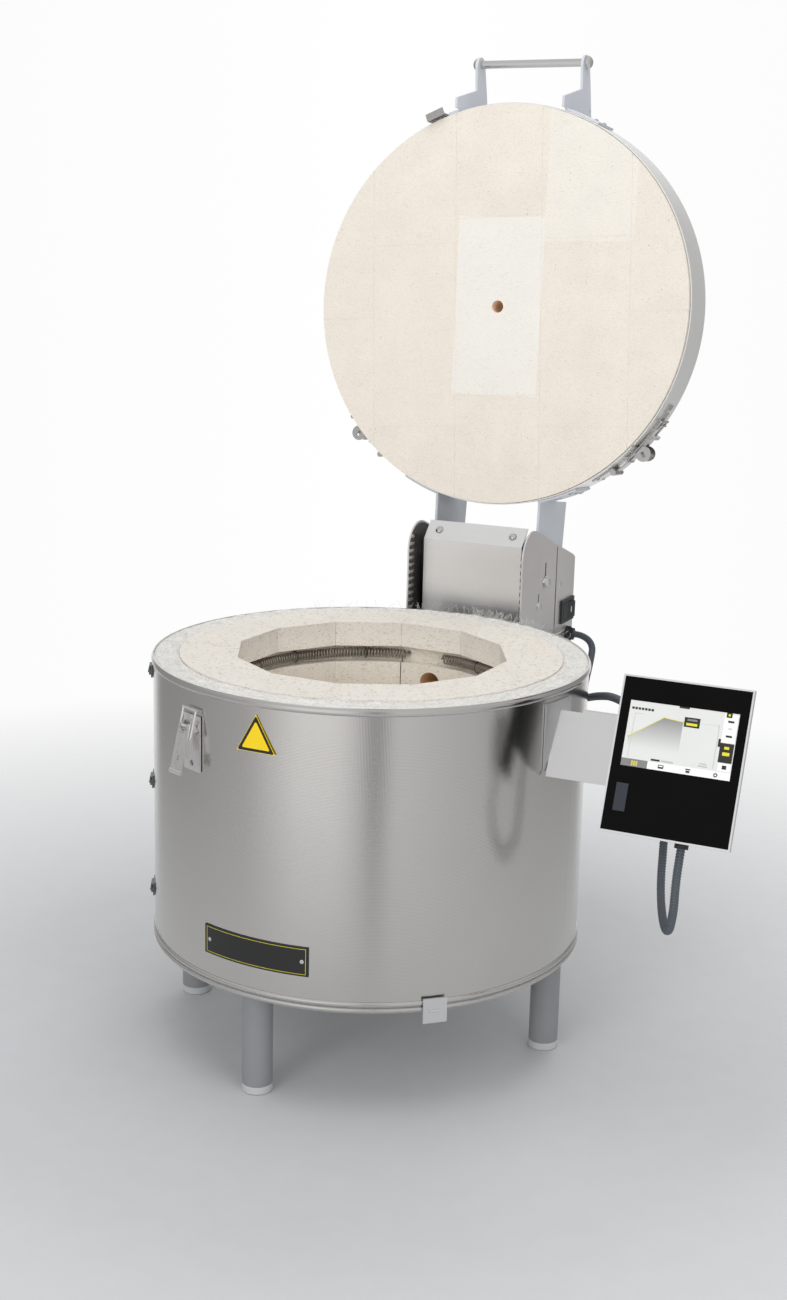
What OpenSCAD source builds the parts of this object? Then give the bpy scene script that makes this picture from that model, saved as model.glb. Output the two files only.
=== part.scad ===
// Round table-top glass kiln with a hinged lid, shown with the lid open.
// Millimetres, +Z up. Origin on the drum axis at floor level.
// +Y is the hinge side, -Y is the front with the handle.

/* [Kiln body] */
// underside of the drum above the floor
base_z = 118; // [90:1:160]
// height of the drum casing
body_height = 324; // [260:1:420]
// outer diameter of the casing sheet
casing_dia = 486; // [420:1:560]
// distance across opposite brick faces in the chamber
chamber_flats = 296; // [220:1:340]
// depth of the chamber
chamber_depth = 230; // [150:1:250]
// outer diameter of the brick ring
brick_dia = 428; // [390:1:450]
// turn of the twelve sided chamber about the axis
chamber_turn = 12.6; // [0:0.1:30]
// outer diameter of a leg tube
leg_dia = 33; // [20:1:45]

/* [Heating] */
// depth of the first groove centre below the brick top
first_groove = 39; // [25:1:60]
// spacing of the grooves
groove_pitch = 56; // [30:1:80]
// height of a groove
groove_height = 20; // [14:1:26]
// outer diameter of the element coil
coil_dia = 13; // [8:1:16]
// diameter of the vent hole through the wall
wall_vent_dia = 26; // [10:1:32]

/* [Lid] */
// how far the lid is open
lid_open = 94.6; // [0:0.1:94.6]
// thickness of the lid bricks
lid_thk = 64; // [50:1:80]
// diameter of the lid bricks
lid_dia = 488; // [420:1:560]
// diameter of the vent hole in the lid
lid_vent_dia = 15; // [8:1:25]
// height of the hinge axis above the floor
pivot_z = 473; // [460:1:500]
// distance of the hinge axis behind the drum axis
pivot_y = 340; // [320:1:360]
// half the length of the handle bar
handle_half = 71; // [60:1:90]

/* [Controller] */
// width of the controller
panel_w = 133; // [110:1:160]
// height of the controller
panel_h = 159; // [130:1:190]
// depth of the controller
panel_d = 42; // [30:1:60]
// backward lean of the controller
panel_lean = 22; // [0:0.5:40]

/* [Hose] */
// outer diameter of the corrugated hose
hose_dia = 9; // [7:0.5:14]

/* [Hidden] */
$fn = 64;
casing_r = casing_dia / 2;
brick_r = brick_dia / 2;
apothem = chamber_flats / 2;
rim_z = base_z + body_height;
brick_top = rim_z + 1;
floor_z = brick_top - chamber_depth;
course = chamber_depth / 2;
floor_thk = 64;
slab_z = floor_z - floor_thk;
lid_r = lid_dia / 2;
lid_face = brick_top + 0.4;
lid_top = lid_face + lid_thk;
band_r = lid_r + 2;
band_z = lid_face + 5;
band_top = lid_top + 1.8;
coil_r = 156;
groove_r = 163.5;
lead_angles = [82.8, 100];
coil_start = 99.6;
coil_sweep = 343.6;
vent_angle = chamber_turn + 75;
vent_z = brick_top - 69.5;
probe_angle = 95;
probe_z = 320;
leg_r = 215;
leg_angles = [-96, 8, 84, 188];
seam_angle = -150;
arm_in = 68.5;
arm_out = 71.5;
panel_in = 76;
panel_out = 78;
shaft_r = 6;
stop_y = 375;
stop_z = pivot_z - 24.4;
latch_angle = -113;
latch_pin_z = 398;
latch_pin_r = 251;
latch_tilt = 14;
box_front_y = 382.6;
box_back_y = 451;
box_low_z = 250;
switch_y = 424;
switch_z = 422;
gland_y = 430;
gland_z = 389;
panel_x = 383.4;
panel_y = -100;
panel_z = 399.3;
box_inset = 19;
hose_points = [
  [88.2, 430, 389], [97.5, 429.2, 388.5], [107.3, 425.7, 386.3], [115.3, 419.8, 382.6],
  [120.8, 412, 377.8], [123.7, 403.4, 372.4], [127.5, 387, 364.5], [132, 368, 358.5],
  [138, 344, 354.5], [147, 313, 352.5], [159, 275, 355], [173, 235, 360.5],
  [190, 190, 370.5], [211, 142, 385], [238, 94, 401], [268, 46, 415], [298, 5, 420],
  [324, -18, 411], [342, -29, 388], [354, -37, 352], [360, -43, 312],
  [361, -46, 282], [361.2, -47.8, 262], [363, -52, 243.5], [367.5, -61.5, 228.5],
  [374.5, -76, 219.5], [382, -92, 218.5], [389, -107, 225.5],
  [394, -118, 239], [397, -123.5, 256.5], [397.4, -123.5, 274],
  [397.4, -120, 292], [397.4, -111.8, 314]
];

// ---------- shared shapes ----------

module at(angle) {
  rotate([0, 0, angle]) children();
}

module tube(r_out, r_in, z0, z1) {
  translate([0, 0, z0]) difference() {
    cylinder(r = r_out, h = z1 - z0, $fn = 180);
    translate([0, 0, -1]) cylinder(r = r_in, h = z1 - z0 + 2, $fn = 180);
  }
}

// part of a tube between two angles
module arc_plate(r0, r1, a0, a1, z0, z1) {
  at(a0) rotate_extrude(angle = a1 - a0, $fn = 180)
    translate([r0, z0]) square([r1 - r0, z1 - z0]);
}

// cylinder pointing radially outward at an angle
module radial(angle, z, r, from, to) {
  at(angle) translate([from, 0, z]) rotate([0, 90, 0]) cylinder(r = r, h = to - from);
}

// cylinder along X
module x_rod(x0, x1, y, z, r) {
  translate([x0, y, z]) rotate([0, 90, 0]) cylinder(r = r, h = x1 - x0);
}

// flat plate drawn in Y and Z, between two X values
module yz_plate(x0, x1) {
  translate([x0, 0, 0]) rotate([90, 0, 90]) linear_extrude(x1 - x0) children();
}

// domed head on a flat face, growing along +Z
module dome(r, h) {
  ball = (r * r + h * h) / (2 * h);
  intersection() {
    cylinder(r = r, h = h);
    translate([0, 0, h - ball]) sphere(r = ball);
  }
}

module dome_x(x, y, z, r, h) {
  side = x > 0 ? 1 : -1;
  translate([x, y, z]) rotate([0, 90 * side, 0]) dome(r, h);
}

module radial_dome(angle, from, z, r, h) {
  at(angle) translate([from, 0, z]) rotate([0, 90, 0]) dome(r, h);
}

module both_sides() {
  children();
  mirror([1, 0, 0]) children();
}

// radius of the round face of a bead that stands 2.5 mm proud
function bead_arc(h) = (h * h / 4 + 6.25) / 5 - 0.1;
module bead_profile(r, z0, h) {
  translate([r, z0]) square([1, h]);
  intersection() {
    translate([r, z0]) square([3, h]);
    translate([r + 2.5 - bead_arc(h), z0 + h / 2]) circle(bead_arc(h), $fn = 96);
  }
}

module lid_pose() {
  translate([0, pivot_y, pivot_z]) rotate([-lid_open, 0, 0])
    translate([0, -pivot_y, -pivot_z]) children();
}

module panel_pose() {
  translate([panel_x, panel_y, panel_z]) rotate([-panel_lean, 0, 0]) children();
}

// holes for element leads, thermocouple and vent
module wall_ports(lead_r, probe_r, vent_r) {
  for (k = [0:3]) for (a = lead_angles)
    radial(a, brick_top - first_groove - k * groove_pitch, lead_r, 120, 256);
  radial(probe_angle, probe_z, probe_r, 120, 256);
  radial(vent_angle, vent_z, vent_r, 120, 256);
}

// mortar-free brick pattern of the floor and the lid
module slab(r, z0, thk) {
  gap = 0.3;
  rotate([0, 0, -3.5]) difference() {
    translate([0, 0, z0]) cylinder(r = r, h = thk, $fn = 180);
    for (x = [-171, -57, 57, 171])
      translate([x - gap / 2, -r - 1, z0 - 1]) cube([gap, 2 * r + 2, thk + 2]);
    for (y = [-109, 109])
      translate([-57, y - gap / 2, z0 - 1]) cube([114, gap, thk + 2]);
    for (x = [-171, 57]) for (y = [-80, 148])
      translate([x, y - gap / 2, z0 - 1]) cube([114, gap, thk + 2]);
    for (x = [-r - 1, 171])
      translate([x, 10, z0 - 1]) cube([r + 1 - 171, gap, thk + 2]);
  }
}

// ---------- drum ----------

module casing() {
  color("#A9A6A2") difference() {
    rotate_extrude($fn = 180) {
      translate([casing_r - 1, base_z + 6]) square([1, body_height - 6]);
      bead_profile(casing_r - 0.5, base_z + 6, 6);
      bead_profile(casing_r - 0.5, rim_z - 9, 9);
    }
    wall_ports(5.2, 4.5, wall_vent_dia / 2);
    at(seam_angle) translate([200, -0.6, base_z]) cube([60, 1.2, body_height + 10]);
  }
}

module base_pan() {
  color("#A9A6A2") difference() {
    rotate_extrude($fn = 180) {
      translate([0, base_z]) square([casing_r - 0.5, 1.5]);
      translate([casing_r - 1, base_z]) square([1, 5.4]);
      bead_profile(casing_r - 0.5, base_z, 5.4);
    }
    for (a = [20:40:340])
      at(a) translate([150, 0, base_z - 1]) cylinder(r = 4, h = 4, $fn = 24);
  }
}

module legs() {
  color("#8E9192") for (a = leg_angles) at(a) translate([leg_r, 0, 0]) {
    difference() {
      translate([0, 0, 9]) cylinder(r = leg_dia / 2, h = base_z - 9.3);
      translate([0, 0, 8]) cylinder(r = leg_dia / 2 - 2, h = base_z - 12.3);
    }
  }
}

module leg_glides() {
  color("#C4C6C6") for (a = leg_angles) at(a) translate([leg_r, 0, 0]) rotate_extrude() {
    square([leg_dia / 2 - 1, 8.9]);
    translate([0, 1.5]) square([leg_dia / 2 + 0.4, 6]);
    translate([leg_dia / 2 - 1.1, 1.5]) circle(1.5, $fn = 24);
    translate([leg_dia / 2 - 1.1, 7.4]) circle(1.5, $fn = 24);
    square([leg_dia / 2 - 2.3, 24]);
  }
}

module casing_clamps() {
  color("#5C5F63") at(seam_angle) for (z = [rim_z - 20, 294, 166]) {
    translate([casing_r + 0.1, -14, z - 7]) cube([2, 28, 14]);
    translate([casing_r + 2, -9, z - 5]) cube([2.5, 18, 10]);
    translate([casing_r + 3.5, -12, z]) rotate([-90, 0, 0]) cylinder(r = 2, h = 24);
  }
}

module fibre_wrap() {
  color("#EDE9E2") difference() {
    tube(casing_r - 1.3, brick_r + 0.3, base_z + 2, rim_z - 1);
    wall_ports(5.2, 4.5, wall_vent_dia / 2);
  }
}

module wedge_brick(z0) {
  spread = tan(15);
  gap = 0.16;
  intersection() {
    translate([0, 0, z0]) cylinder(r = brick_r, h = course - 0.2, $fn = 180);
    translate([0, 0, z0]) linear_extrude(course - 0.2) polygon([
      [apothem, gap - apothem * spread],
      [brick_r + 10, gap - (brick_r + 10) * spread],
      [brick_r + 10, (brick_r + 10) * spread - gap],
      [apothem, apothem * spread - gap]
    ]);
  }
}

module wall_bricks() {
  color("#E8DCCB") difference() {
    for (i = [0:11]) at(chamber_turn + 15 + 30 * i) {
      wedge_brick(floor_z);
      wedge_brick(floor_z + course + 0.2);
    }
    for (k = [0:3])
      translate([0, 0, brick_top - first_groove - k * groove_pitch - groove_height / 2])
        cylinder(r = groove_r, h = groove_height, $fn = 180);
    wall_ports(4.6, 3.7, wall_vent_dia / 2);
    at(chamber_turn + 90) translate([140, -0.7, floor_z + course - 1])
      cube([80, 1.4, course - first_groove]);
  }
}

module floor_bricks() {
  color("#E8DCCB") slab(brick_r, slab_z, floor_thk - 0.2);
}

module floor_board() {
  color("#DDD8CE") translate([0, 0, base_z + 2])
    cylinder(r = brick_r, h = slab_z - base_z - 2.2, $fn = 180);
}

// ---------- heating ----------

module elements() {
  color("#8B8278") for (k = [0:3]) {
    z = brick_top - first_groove - k * groove_pitch;
    at(coil_start) rotate_extrude(angle = coil_sweep, $fn = 120)
      translate([coil_r, z]) circle(coil_dia / 2, $fn = 24);
    for (a = lead_angles) radial(a, z, 2, coil_r, 266);
  }
}

module element_bushes() {
  color("#F2EFE8") for (k = [0:3]) for (a = lead_angles) {
    z = brick_top - first_groove - k * groove_pitch;
    difference() {
      union() {
        radial(a, z, 4.4, 165, 249);
        radial(a, z, 7, 243.4, 248);
      }
      radial(a, z, 2.3, 160, 255);
    }
  }
}

module thermocouple() {
  color("#D8D2C4") {
    radial(probe_angle, probe_z, 3.5, 132, 250);
    radial(probe_angle, probe_z, 10, 243.6, 262);
  }
}

// ---------- lid ----------

module lid_bricks() {
  color("#EFE7DD") lid_pose() difference() {
    slab(lid_r, lid_face, lid_thk);
    translate([0, 0, lid_face - 1]) cylinder(r = lid_vent_dia / 2, h = lid_thk + 2);
  }
}

module lid_cover() {
  color("#A9A6A2") lid_pose() difference() {
    translate([0, 0, lid_top + 0.2]) cylinder(r = lid_r + 0.2, h = 1, $fn = 180);
    translate([0, 0, lid_top - 1]) cylinder(r = lid_vent_dia / 2 + 0.5, h = 4);
  }
}

module lid_band_front() {
  color("#A9A6A2") lid_pose()
    arc_plate(band_r - 1.5, band_r, 140, 400, band_z, band_top);
}

module lid_band_rear() {
  color("#A9A6A2") lid_pose()
    arc_plate(band_r - 1.5, band_r, 41, 139, band_z, band_top);
}

module handle_brackets() {
  color("#A9AFB8") lid_pose() {
    both_sides() difference() {
      yz_plate(arm_in, arm_out) {
        polygon([[-296, 493.5], [-269, 498], [-251, 437], [-239, 437], [-239, 449],
          [-237, 449], [-237, 505], [-239, 507], [-239, 538], [-270, 529], [-298, 519.8]]);
        translate([-297.5, 506.7]) circle(13.1, $fn = 48);
      }
      x_rod(arm_in - 1, arm_out + 1, -301.7, 506.4, 5.1);
      x_rod(arm_in - 1, arm_out + 1, -247, 530, 1.8);
    }
    arc_plate(band_r + 0.2, band_r + 3.2, -73.5, -63, 449, 505);
    arc_plate(band_r + 0.2, band_r + 3.2, -109.9, -106.5, 449, 505);
  }
}

module handle_bar() {
  color("#C8C7C5") lid_pose() x_rod(-handle_half, handle_half, -301.7, 506.4, 5);
}

module handle_caps() {
  color("#B9BABB") lid_pose() both_sides() difference() {
    union() {
      x_rod(arm_out + 0.1, arm_out + 3, -301.7, 506.4, 8);
      dome_x(arm_out + 3, -301.7, 506.4, 8, 5);
    }
    x_rod(arm_out - 1, arm_out + 1, -301.7, 506.4, 5.1);
  }
}

module lid_rivets() {
  color("#B9BABB") lid_pose() {
    both_sides() {
      for (z = [464, 484, 502]) radial_dome(64.5, band_r + 3.25, z, 3.5, 1.8);
      for (z = [468, 488]) radial_dome(55.6, band_r + 2.15, z, 2.6, 1.4);
      for (z = [474, 482]) radial_dome(27.6, band_r + 2.15, z, 2.6, 1.4);
    }
    for (z = [462, 492]) for (a = [-108.3, -65]) radial_dome(a, band_r + 3.25, z, 3, 1.8);
    for (z = [462, 480]) radial_dome(latch_angle, band_r + 2.15, z, 3, 1.6);
  }
}

module lid_arms() {
  color("#A9AFB8") lid_pose() both_sides() {
    difference() {
      yz_plate(arm_in, arm_out) {
        polygon([[236.5, 452], [pivot_y - 2, pivot_z - 18.4], [pivot_y + 17, pivot_z - 4],
          [350, 544], [242, 550], [239.5, 512], [236.5, 509]]);
        translate([pivot_y, pivot_z]) circle(18.4);
      }
      x_rod(arm_in - 1, arm_out + 1, pivot_y, pivot_z, shaft_r + 0.05);
    }
    arc_plate(band_r + 0.2, band_r + 3.2, 62, 74, 452, band_top);
  }
}

// ---------- band tensioners of the lid ----------

module tensioner_base() {
  arc_plate(band_r + 0.1, band_r + 2.1, 50.6, 57, 462, 494);
  for (z = [462, 488]) {
    at(50.6) translate([252, 0, z]) cylinder(r = 3.6, h = 6);
    at(50.6) translate([band_r + 0.4, -3, z]) cube([5, 6, 6]);
  }
  at(50.6) translate([252, 0, 463]) cylinder(r = 1.5, h = 30);
}

module tensioner_bases() {
  color("#8D8F90") lid_pose() both_sides() tensioner_base();
}

module tensioner_keepers() {
  color("#8D8F90") lid_pose() both_sides() {
    arc_plate(band_r + 0.1, band_r + 2.1, 26, 34, 469, 487);
    at(31.9) translate([band_r + 1, -0.8, 470]) cube([7.5, 1.6, 16]);
  }
}

module tensioner_lever() {
  difference() {
    union() {
      at(50.6) translate([252, 0, 468.6]) cylinder(r = 3.6, h = 18.8);
      arc_plate(250.9, 253, 36, 50.2, 470, 486);
      at(45.5) translate([251, 0, 469.4]) cylinder(r = 3, h = 17.2);
      for (z = [467.4, 486.4]) at(41) translate([258, 0, z]) cylinder(r = 9.5, h = 2.2);
      at(41) translate([256, 0, 467.4]) cylinder(r = 4.5, h = 21.2);
      arc_plate(252.4, 257, 35.2, 36.2, 470, 486);
    }
    at(50.6) translate([252, 0, 460]) cylinder(r = 1.6, h = 40);
    at(45.5) translate([251, 0, 460]) cylinder(r = 1.6, h = 40);
    at(41) translate([256, -2.5, 460]) rotate([0, 0, 20]) cube([7, 4, 40]);
  }
}

module tensioner_loop() {
  for (a = [30.9, 45.5])
    at(a) translate([251, 0, 463.4]) cylinder(r = 1.5, h = 29.2);
  for (z = [465, 491])
    translate([251 * cos(45.5), 251 * sin(45.5), z]) rotate([0, 0, -51.8])
      rotate([0, 90, 0]) cylinder(r = 1.3, h = 63.8);
}

module tensioner_lever_right() {
  color("#A4A6A7") lid_pose() tensioner_lever();
}

module tensioner_loop_right() {
  color("#9A9C9D") lid_pose() tensioner_loop();
}

module tensioner_lever_left() {
  color("#A4A6A7") lid_pose() mirror([1, 0, 0]) tensioner_lever();
}

module tensioner_loop_left() {
  color("#9A9C9D") lid_pose() mirror([1, 0, 0]) tensioner_loop();
}

// ---------- front draw latch ----------

module lid_keeper() {
  color("#77797B") lid_pose() at(latch_angle) {
    translate([band_r + 0.1, -12, 436]) cube([2, 24, 56]);
    translate([band_r + 1, -12, 436]) cube([8, 24, 2]);
  }
}

// cylinder along the local Y axis, centred
module pin_y(x, z, r, len) {
  translate([x, -len / 2, z]) rotate([-90, 0, 0]) cylinder(r = r, h = len);
}

module latch_base() {
  color("#9FA1A2") at(latch_angle) {
    difference() {
      translate([casing_r + 0.4, -14, 350]) cube([2, 28, 60]);
      translate([casing_r - 1, 0, 358]) rotate([0, 90, 0]) cylinder(r = 3, h = 6);
    }
    for (y = [-7, 5]) {
      translate([casing_r + 1, y, latch_pin_z - 6]) cube([7, 2, 12]);
      translate([latch_pin_r, y, latch_pin_z]) rotate([-90, 0, 0]) cylinder(r = 4.2, h = 2);
    }
    pin_y(latch_pin_r, latch_pin_z, 1.8, 18.6);
  }
}

module latch_lever() {
  color("#B5B7B8") at(latch_angle)
    translate([latch_pin_r, 0, latch_pin_z]) rotate([0, -latch_tilt, 0]) difference() {
      union() {
        for (y = [-9.2, 7.4]) {
          translate([0, y, 0]) rotate([-90, 0, 0]) cylinder(r = 4.4, h = 1.8);
          translate([-3, y, -32]) cube([7, 1.8, 32]);
        }
        translate([2.4, -9.2, -48]) cube([1.8, 18.4, 41]);
        pin_y(3.3, -48, 2.4, 18.4);
      }
      pin_y(0, 0, 1.85, 20);
      pin_y(1, -11, 1.5, 20);
      translate([0, -2.5, -36]) cube([6, 5, 24]);
    }
}

module latch_loop() {
  color("#9A9C9D") at(latch_angle)
    translate([latch_pin_r, 0, latch_pin_z]) rotate([0, -latch_tilt, 0])
      translate([1, 0, -11]) {
        for (z = [0, 30]) pin_y(0, z, 1.4, 24.6);
        for (y = [-11, 11]) translate([0, y, 0]) cylinder(r = 1.2, h = 30);
      }
}

// ---------- hinge housing ----------

module hinge_cover() {
  color("#A9A6A2") difference() {
    union() {
      translate([-66.4, 282, 330]) cube([132.8, 1.5, 194.4]);
      yz_plate(-66.4, 66.4)
        polygon([[282, 524], [283.5, 524], [303.2, 544.6], [302.1, 545.6], [282, 524.6]]);
    }
    for (x = [-50, 50])
      translate([x, 292.6, 535]) rotate([46.3, 0, 0]) cylinder(r = 2.2, h = 8, center = true);
  }
}

// outline of a side panel in Y and Z
module panel_outline(inset) {
  translate([292, 511]) circle(34 - inset, $fn = 96);
  polygon([[258 + inset, 200 + inset], [379 - inset, 200 + inset], [379 - inset, 515 - inset],
    [303.9 - inset * 0.3, 542.9 - inset], [292, 511], [258 + inset, 511]]);
}

module side_panels() {
  color("#A9A6A2") both_sides() difference() {
    yz_plate(panel_in, panel_out) difference() {
      panel_outline(0);
      translate([pivot_y - 2.2, pivot_z]) square([4.4, 25]);
      translate([316.5, 445]) square([3, 16]);
    }
    x_rod(panel_in - 1, panel_out + 1, pivot_y, pivot_z, shaft_r + 0.1);
    x_rod(panel_in - 1, panel_out + 1, 318, 445, 2.6);
    for (z = [230, 300]) x_rod(panel_in - 1, panel_out + 1, 284, z, 2.6);
  }
}

module hinge_liners() {
  color("#26282B") both_sides() difference() {
    yz_plate(panel_in - 2, panel_in - 0.1) difference() {
      panel_outline(2.5);
      translate([200, 190]) square([200, 140]);
      for (z = [346:9:530]) translate([255, z]) square([20, 4.5]);
      for (z = [346:14:430]) translate([290, z]) square([70, 5]);
      translate([318, 445]) circle(2.8, $fn = 32);
    }
    x_rod(panel_in - 3, panel_out, pivot_y, pivot_z, 12);
  }
}

// seat of a cover screw on the sloping flange
module cover_screw_place(x) {
  translate([x, 291.9, 535.7]) rotate([46.3, 0, 0]) children();
}

module hinge_chassis() {
  color("#B4B6B8") difference() {
    union() {
      translate([-66, 283.8, 332]) cube([132, 2, 170]);
      for (x = [-66, 64]) translate([x, 283.8, 332]) cube([2, 98.5, 170]);
      for (x = [-66, 46]) translate([x, 380.5, 332]) cube([20, 1.8, 106]);
      translate([-66, 283.8, 332]) cube([132, 98.5, 2]);
      yz_plate(-60, 60)
        polygon([[284.2, 500], [285.8, 500], [285.8, 523], [303.6, 541.6], [302.4, 542.6],
          [284.2, 523.6]]);
    }
    x_rod(-70, 70, pivot_y, pivot_z, shaft_r + 0.05);
    x_rod(-70, 70, stop_y, stop_z, 5.1);
    for (x = [-50, 50])
      cover_screw_place(x) translate([0, 0, -8]) cylinder(r = 2.2, h = 10);
    translate([-30, 300, 330]) cube([60, 60, 6]);
  }
}

module hinge_shaft() {
  color("#C8C7C5") {
    x_rod(-panel_out - 0.2, panel_out + 0.2, pivot_y, pivot_z, shaft_r);
    both_sides() dome_x(panel_out + 0.2, pivot_y, pivot_z, 8.5, 7.4);
  }
}

module stop_bar() {
  color("#C8C7C5") x_rod(-73.8, 73.8, stop_y, stop_z, 5);
}

module stop_sleeves() {
  color("#1E1F21") both_sides() difference() {
    x_rod(67, 73.6, stop_y, stop_z, 8);
    x_rod(66, 75, stop_y, stop_z, 5.05);
  }
}

module mount_brackets() {
  color("#A9A6A2") both_sides() difference() {
    union() {
      translate([74, 232, 205]) cube([1.9, 68, 115]);
      arc_plate(casing_r + 0.3, casing_r + 2.3, 57, 72.4, 205, 320);
    }
    for (z = [230, 300]) x_rod(73, 77, 284, z, 2.6);
  }
}

module housing_screws() {
  color("#B9BABB") {
    both_sides() {
      x_rod(72.5, panel_out, 318, 445, 2.5);
      dome_x(panel_out, 318, 445, 6.5, 5);
      for (z = [230, 300]) {
        x_rod(71, panel_out, 284, z, 2.5);
        dome_x(panel_out, 284, z, 5, 2.4);
      }
      dome_x(panel_out, 397, 460, 5, 2.4);
      dome_x(panel_out, 397, 268, 5, 2.4);
    }
    for (x = [-50, 50]) cover_screw_place(x) {
      dome(5, 2.6);
      translate([0, 0, -6]) cylinder(r = 2, h = 6.5);
    }
  }
}

// ---------- rear switch box ----------

module box_outline(inset) {
  front = box_front_y - (inset > 0 ? 5 : 0);
  polygon([[front, box_low_z + inset], [box_back_y - inset, box_low_z + inset],
    [box_back_y - inset, 489 - inset], [443, 493.6 - inset * 1.1], [400, 508.6 - inset * 1.05],
    [front, 512.4 - inset]]);
}

module box_shell() {
  color("#A9A6A2") difference() {
    yz_plate(-panel_out, panel_out) box_outline(0);
    yz_plate(2 - panel_out, panel_out - 2) box_outline(2);
    both_sides() translate([66, 375, 480]) cube([8, 51, 60]);
    x_rod(70, 90, gland_y, gland_z, 6.1);
    translate([70, switch_y - 20, switch_z - 13]) cube([20, 40, 26]);
    translate([-40, gland_y - 4, box_low_z - 1]) cylinder(r = 8.1, h = 4);
    for (z = [300:14:400]) translate([-45, 440, z]) cube([90, 20, 4]);
  }
}

module box_front() {
  color("#9EA0A2") {
    translate([-75.8, box_front_y + 0.1, box_low_z + 2.2]) cube([151.6, 1.5, 188]);
    translate([-75.8, box_front_y + 0.1, 440]) cube([151.6, 37.8, 1.5]);
    translate([-75.8, 419, 440]) cube([151.6, 1.5, 56]);
  }
}

module switch_bezel() {
  color("#151617") difference() {
    union() {
      translate([panel_out + 0.1, switch_y - 23, switch_z - 15.5]) cube([3, 46, 31]);
      translate([50, switch_y - 19.5, switch_z - 12.5]) cube([29, 39, 25]);
    }
    translate([64, switch_y - 18, switch_z - 11]) cube([30, 36, 22]);
  }
}

module switch_rocker() {
  color("#1C1D1F") translate([panel_out - 4, switch_y, switch_z]) rotate([0, 0, -7])
    difference() {
      translate([0, 0, -10.5]) linear_extrude(21)
        polygon([[0, -15], [7.4, -17], [9.4, -16.4], [7, 0], [9.4, 16.4], [7.4, 17], [0, 15]]);
      translate([-1, -11, -8]) cube([5, 22, 16]);
    }
}

module relay() {
  color("#2A2D31") difference() {
    translate([-60, 424.5, 300]) cube([45, 24, 60]);
    for (z = [306, 354]) translate([-37.5, 420, z]) rotate([-90, 0, 0])
      cylinder(r = 2.2, h = 40);
  }
}

module terminal_block() {
  color("#D9D6CC") difference() {
    translate([0, 426, 290]) cube([40, 20, 22]);
    for (x = [5:10:35]) translate([x, 420, 301]) rotate([-90, 0, 0]) cylinder(r = 3, h = 16);
  }
}

module hose_gland() {
  color("#22252A") difference() {
    union() {
      x_rod(72, 81, gland_y, gland_z, 6);
      translate([panel_out + 0.1, gland_y, gland_z]) rotate([0, 90, 0])
        cylinder(r = 10, h = 6, $fn = 6);
      x_rod(83, 88, gland_y, gland_z, 8);
    }
    x_rod(70, 90, gland_y, gland_z, 3);
  }
}

module mains_gland() {
  color("#22252A") translate([-40, gland_y - 4, 0]) difference() {
    union() {
      translate([0, 0, box_low_z - 0.1 - 6]) cylinder(r = 12, h = 6, $fn = 6);
      translate([0, 0, box_low_z - 16]) cylinder(r = 9, h = 10.2);
      translate([0, 0, box_low_z - 1]) cylinder(r = 8, h = 9);
      translate([0, 0, box_low_z + 2.1]) cylinder(r = 11, h = 4, $fn = 6);
    }
    translate([0, 0, box_low_z - 20]) cylinder(r = 4.5, h = 40);
  }
}

// ---------- hose ----------

function vec_len(v) = sqrt(v[0] * v[0] + v[1] * v[1] + v[2] * v[2]);
function unit(v) = v / vec_len(v);
function curve(a, b, c, d, t) =
  0.5 * ((2 * b) + (c - a) * t + (2 * a - 5 * b + 4 * c - d) * t * t
    + (3 * b - a - 3 * c + d) * t * t * t);
function route(p, steps) = [for (i = [0:len(p) - 2]) for (k = [0:steps - 1])
  curve(p[max(i - 1, 0)], p[i], p[i + 1], p[min(i + 2, len(p) - 1)], k / steps)];
function ring(p, dir, r, sides) =
  let (side = unit(cross(dir, [0.12, 0.31, 0.94])), up = cross(side, dir))
  [for (i = [0:sides - 1]) p + r * (cos(360 * i / sides) * side + sin(360 * i / sides) * up)];

module swept(p, r, sides) {
  n = len(p);
  rings = [for (i = [0:n - 1])
    ring(p[i], unit(p[min(i + 1, n - 1)] - p[max(i - 1, 0)]), r, sides)];
  points = [for (q = rings) for (v = q) v];
  walls = [for (i = [0:n - 2]) for (k = [0:sides - 1])
    [i * sides + k, i * sides + (k + 1) % sides, (i + 1) * sides + (k + 1) % sides,
      (i + 1) * sides + k]];
  ends = [[for (k = [sides - 1:-1:0]) k], [for (k = [0:sides - 1]) (n - 1) * sides + k]];
  polyhedron(points = points, faces = concat(walls, ends), convexity = 6);
}

module hose() {
  color("#4D5258")
    swept(concat(route(hose_points, 3), [hose_points[len(hose_points) - 1]]), hose_dia / 2, 10);
}

// ---------- controller and its support ----------

module controller_bracket() {
  color("#A9A6A2") {
    arc_plate(casing_r + 0.3, casing_r + 2.3, -16.4, -4.5, 357, 429);
    difference() {
      panel_pose() translate([-146, panel_d + 4.3, -32]) cube([50, 2, 71]);
      cylinder(r = casing_r + 0.3, h = 600, $fn = 180);
    }
  }
}

module controller_arm() {
  color("#B4B6B8") panel_pose() {
    translate([-117, panel_d + 2.2, -32]) cube([137, 2, 73]);
    translate([-117, panel_d + 4.1, 41]) rotate([0, 90, 0]) cylinder(r = 1.8, h = 137);
  }
}

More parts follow.
